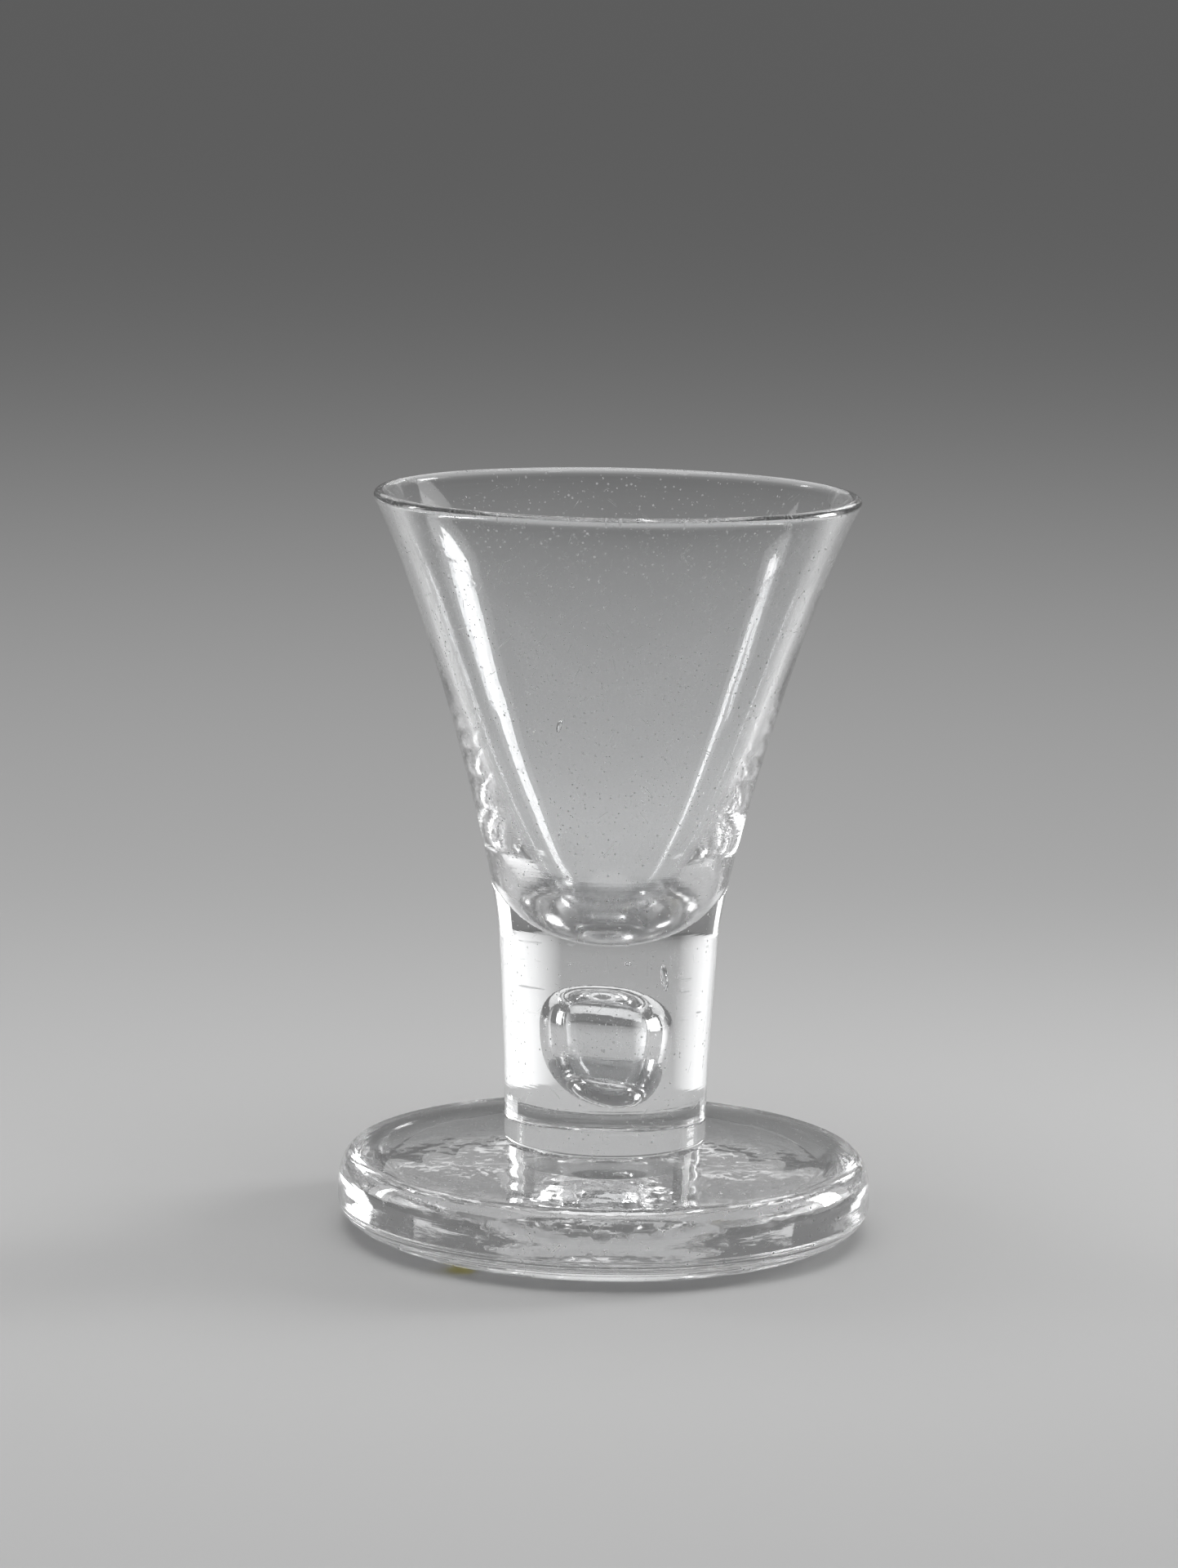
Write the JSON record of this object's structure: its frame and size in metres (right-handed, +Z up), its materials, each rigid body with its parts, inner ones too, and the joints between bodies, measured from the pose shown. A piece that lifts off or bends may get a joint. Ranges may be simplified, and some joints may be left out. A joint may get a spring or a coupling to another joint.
{
  "type": "firing glass",
  "caption": "Short clear drinking glass with a thick trumpet bowl, a solid stem holding a trapped air tear, and a heavy disc foot for rapping on a table.",
  "frame": {"origin": "centre of the flat ring that the foot stands on", "axes": "+Z up the axis of the glass, towards the lip; -Y faces the picture's camera, +X to its right"},
  "size_m": [0.072, 0.072, 0.1],
  "materials": {
    "lead_glass": "clear and fire-polished, with light scratches"
  },
  "bodies": {
    "root": {"bowl": "lead_glass", "stem": "lead_glass", "foot": "lead_glass"}
  },
  "joints": []
}
